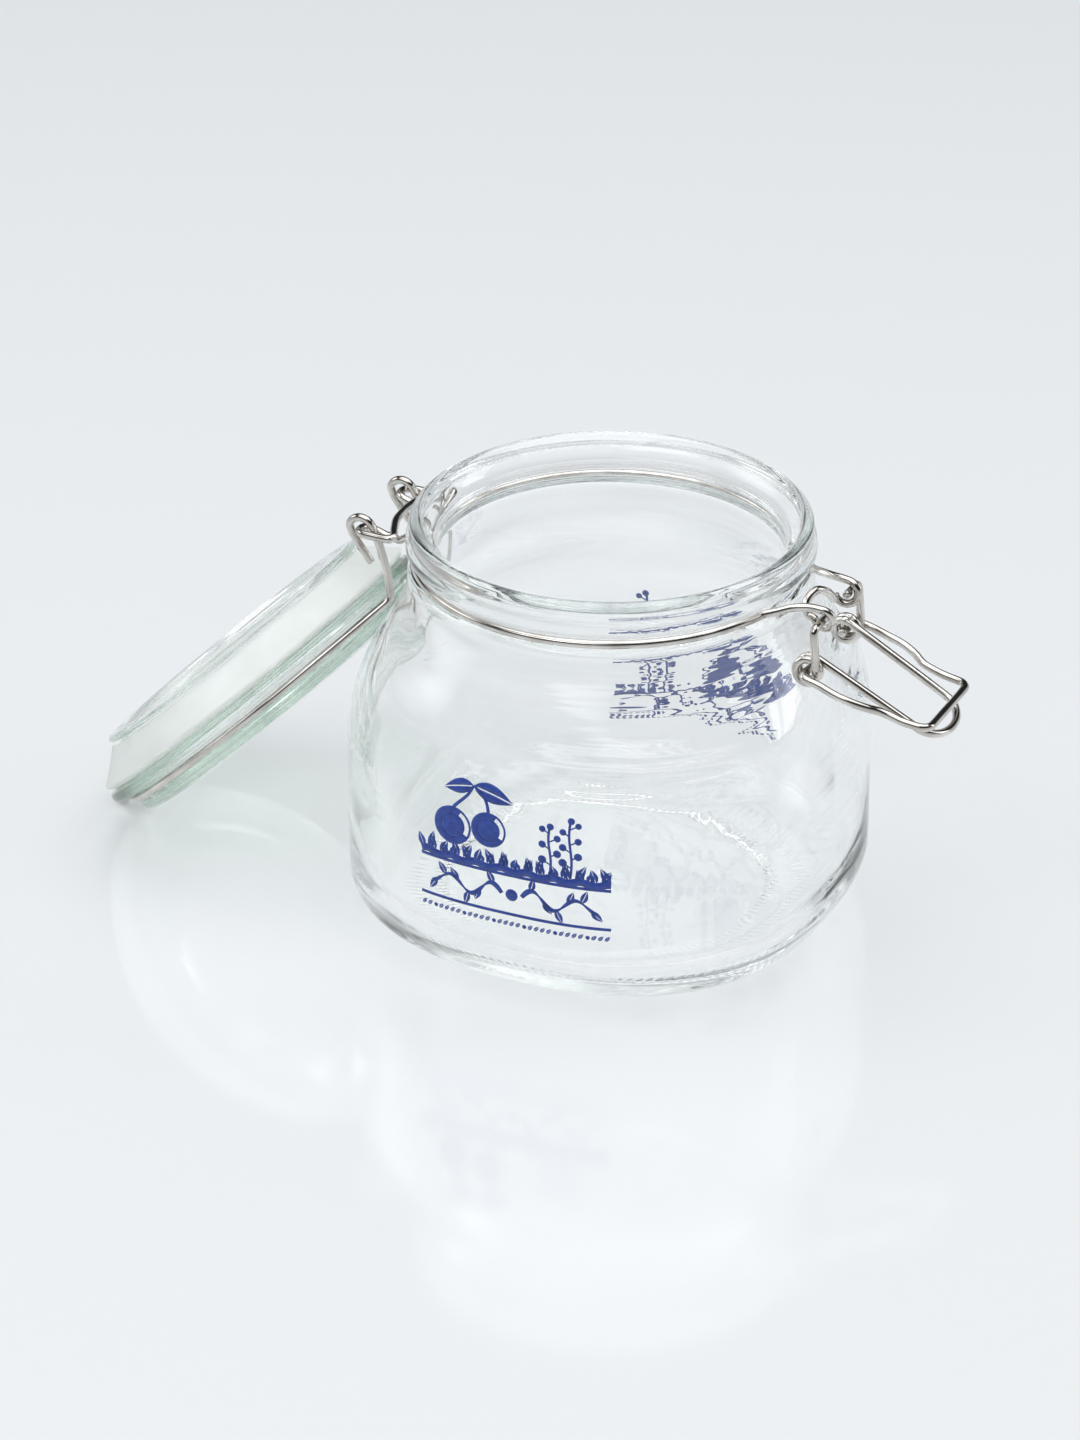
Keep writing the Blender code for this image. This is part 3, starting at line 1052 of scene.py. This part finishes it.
def steel(name):
    """Bright drawn stainless wire: fine faint marks and small dull patches."""
    material, tree, shader = new_material(name)
    shader.inputs["Metallic"].default_value = 1.0
    patches = noise(tree, 160.0, 3.0)
    tree.links.new(ramp(tree, patches, STEEL_DARK, STEEL_LIGHT), shader.inputs["Base Color"])
    roughness(tree, shader, patches, 0.05, 0.13)
    bump(tree, shader, noise(tree, 900.0, 4.0), 0.00003, 0.35)
    return material


def rubber():
    """Milky silicone, a little see-through, with a soft moulded grain."""
    material, tree, shader = new_material("milky_rubber")
    set_inputs(
        shader,
        {
            "Transmission Weight": 0.55,
            "IOR": 1.41,
            "Subsurface Weight": 0.25,
            "Subsurface Radius": (0.004, 0.004, 0.003),
            "Subsurface Scale": 1.0,
            "Roughness": 0.38,
        },
    )
    cloud = noise(tree, 90.0, 4.0)
    tree.links.new(ramp(tree, cloud, RUBBER_DARK, RUBBER_LIGHT), shader.inputs["Base Color"])
    bump(tree, shader, noise(tree, 1500.0, 2.0), 0.00004, 0.3)
    let_through(tree, shader, RUBBER_SHADE)
    return material


def enamel():
    """Fired blue enamel: dense, a touch uneven where the screen left it thin."""
    material, tree, shader = new_material("blue_enamel")
    cloud = noise(tree, 700.0, 5.0)
    tree.links.new(ramp(tree, cloud, ENAMEL_DARK, ENAMEL_LIGHT), shader.inputs["Base Color"])
    roughness(tree, shader, cloud, 0.22, 0.42)
    bump(tree, shader, cloud, 0.00002, 0.4)
    return material


def table_top():
    """Glossy white acrylic with faint unevenness, and painted light: its far side is a touch bluer and
    lighter, standing in for uneven studio light across the table.
    """
    material, tree, shader = new_material("white_table")
    cloud = noise(tree, 3.0, 4.0)
    # Painted light: the colour shifts from the near side to the far side, standing in for uneven studio
    # light across the table
    far = window(tree, axes(tree, coordinates(tree))["Y"], -0.15, 0.55)
    blend = maths(tree, "ADD", maths(tree, "MULTIPLY", cloud, 0.12), far)
    tree.links.new(ramp(tree, blend, TABLE_NEAR_PAINTED_LIGHT, TABLE_FAR_PAINTED_LIGHT, (0.0, 1.0)), shader.inputs["Base Color"])
    roughness(tree, shader, cloud, 0.05, 0.10)
    return material


def dress(obj, material, body, nodes):
    """Gives a piece its material, the body it rides on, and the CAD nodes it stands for."""
    obj.data.materials.append(material)
    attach(obj, body)
    if nodes:
        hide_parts(*nodes)


# ---------------------------------------------------------------- studio


def feather(tree):
    """Fades a panel's light from its middle, where it is full, to its edges."""
    across = axes(tree, tree.nodes.new("ShaderNodeNewGeometry").outputs["Parametric"])
    fades = []
    for axis in ("X", "Y"):
        rest = maths(tree, "SUBTRACT", 1.0, across[axis])
        fades.append(maths(tree, "MULTIPLY", across[axis], rest))
    # Each fade is a quarter in the middle
    fade = maths(tree, "MULTIPLY", maths(tree, "MULTIPLY", fades[0], fades[1]), 16.0)
    tree.links.new(fade, tree.nodes["Emission"].inputs["Strength"])


def softbox(name, place, aim, size, power, feathered):
    """A lit panel that faces its aim."""
    data = bpy.data.lights.new(name, "AREA")
    data.shape = "RECTANGLE"
    data.size, data.size_y = size
    data.energy = power
    if feathered:
        data.use_nodes = True
        feather(data.node_tree)
    obj = bpy.data.objects.new(name, data)
    obj.location = place
    obj.rotation_mode = "QUATERNION"
    obj.rotation_quaternion = (Vector(place) - Vector(aim)).to_track_quat("Z", "Y")
    bpy.context.scene.collection.objects.link(obj)


def table():
    mesh = bpy.data.meshes.new("table")
    half = TABLE_HALF
    corners = [(-half, -half, 0), (half, -half, 0), (half, half, 0), (-half, half, 0)]
    mesh.from_pydata(corners, [], [(0, 1, 2, 3)])
    mesh.materials.append(table_top())
    floor = bpy.data.objects.new("table", mesh)
    floor.location.z = -TABLE_GAP
    bpy.context.scene.collection.objects.link(floor)


def room():
    """Pale light from all round, with the dark band that only mirror-bright surfaces show."""
    world = bpy.data.worlds.new("studio")
    world.use_nodes = True
    tree = world.node_tree
    background = tree.nodes["Background"]
    heading = axes(tree, coordinates(tree, "Generated"))
    glow = ramp(tree, window(tree, heading["Z"], -1.0, 1.0), ROOM_LOW, ROOM_HIGH, (0.45, 1.0))
    path = tree.nodes.new("ShaderNodeLightPath")
    outside_glass = maths(tree, "SUBTRACT", 1.0, path.outputs["Is Transmission Ray"])
    mirror_ray = maths(tree, "MULTIPLY", path.outputs["Is Glossy Ray"], outside_glass)
    below_ceiling = window(tree, heading["Z"], *DARK_BELOW_CEILING)
    above_table = window(tree, heading["Z"], *DARK_ABOVE_TABLE)
    dark = maths(tree, "MULTIPLY", maths(tree, "MULTIPLY", below_ceiling, above_table), DARKNESS)
    lit = maths(tree, "SUBTRACT", 1.0, maths(tree, "MULTIPLY", dark, mirror_ray))
    scale = tree.nodes.new("ShaderNodeVectorMath")
    scale.operation = "SCALE"
    tree.links.new(glow, scale.inputs[0])
    tree.links.new(lit, scale.inputs["Scale"])
    tree.links.new(scale.outputs["Vector"], background.inputs["Color"])
    background.inputs["Strength"].default_value = ROOM_STRENGTH
    bpy.context.scene.world = world


def camera():
    """Long lens, a little to the right of the printed face, looking down on the jar."""
    azimuth = math.radians(CAMERA_AZIMUTH)
    elevation = math.radians(CAMERA_ELEVATION)
    level = math.cos(elevation)
    back = Vector((math.sin(azimuth) * level, -math.cos(azimuth) * level, math.sin(elevation)))
    sideways = Vector((math.cos(azimuth), math.sin(azimuth), 0))
    target = Vector((0, 0, CAMERA_AIM_Z)) + sideways * CAMERA_AIM_SIDEWAYS
    data = bpy.data.cameras.new("camera")
    data.lens = CAMERA_LENS
    data.sensor_width = CAMERA_SENSOR
    data.clip_start, data.clip_end = CAMERA_CLIP
    obj = bpy.data.objects.new("camera", data)
    obj.location = target + back * CAMERA_DISTANCE
    obj.rotation_mode = "QUATERNION"
    obj.rotation_quaternion = (-back).to_track_quat("-Z", "Y")
    bpy.context.scene.collection.objects.link(obj)
    bpy.context.scene.camera = obj


def light_paths():
    paths = bpy.context.scene.cycles
    paths.glossy_bounces = GLOSSY_BOUNCES
    paths.transmission_bounces = TRANSMISSION_BOUNCES
    paths.max_bounces = MOST_BOUNCES


def main():
    bpy.context.scene.view_settings.view_transform = "Standard"
    light_paths()
    camera()
    table()
    room()
    for lamp in LAMPS:
        softbox(*lamp)

    clear = glass(
        "clear_glass",
        tint=(0.985, 0.995, 0.99),
        absorb=(0.84, 0.92, 0.90),
        density=3.5,
        wave=0.00006,
        shade=(0.975, 0.98, 0.98),
        drag=9.5,
    )
    green = glass(
        "green_glass",
        tint=(0.98, 0.99, 0.985),
        absorb=(0.61, 0.76, 0.67),
        density=14.0,
        wave=0.000012,
        shade=(0.93, 0.95, 0.94),
        turn=math.radians(-OPEN_ANGLE),
    )
    dress(make_jar(), clear, "jar", ["jar_body"])
    dress(make_lid(), green, "lid", ["lid_glass"])
    dress(make_gasket(), rubber(), "lid", ["gasket"])

    # Piece, path, material, body, CAD node, slot
    wires = [
        ("neck_wire_shown", neck_wire_path(), "neck_steel", "jar", "neck_wire", "neck_wire_steel"),
        ("lid_wire_shown", lid_wire_path(), "lid_steel", "lid", "lid_wire", "lid_wire_steel"),
        ("lever_shown", lever_path(), "lever_steel", "lever", "latch_lever", "lever_steel"),
        ("bail_shown", bail_path(), "bail_steel", "bail", "latch_bail", "bail_steel"),
    ]
    for name, path, finish, body, node, slot in wires:
        dress(wire(name, path), steel(finish), body, [node])

    ink = enamel()
    drawn = draw_print()
    dress(drawn.lay("print_front", -1), ink, "jar", [])
    dress(drawn.lay("print_back", 1), ink, "jar", [])


main()
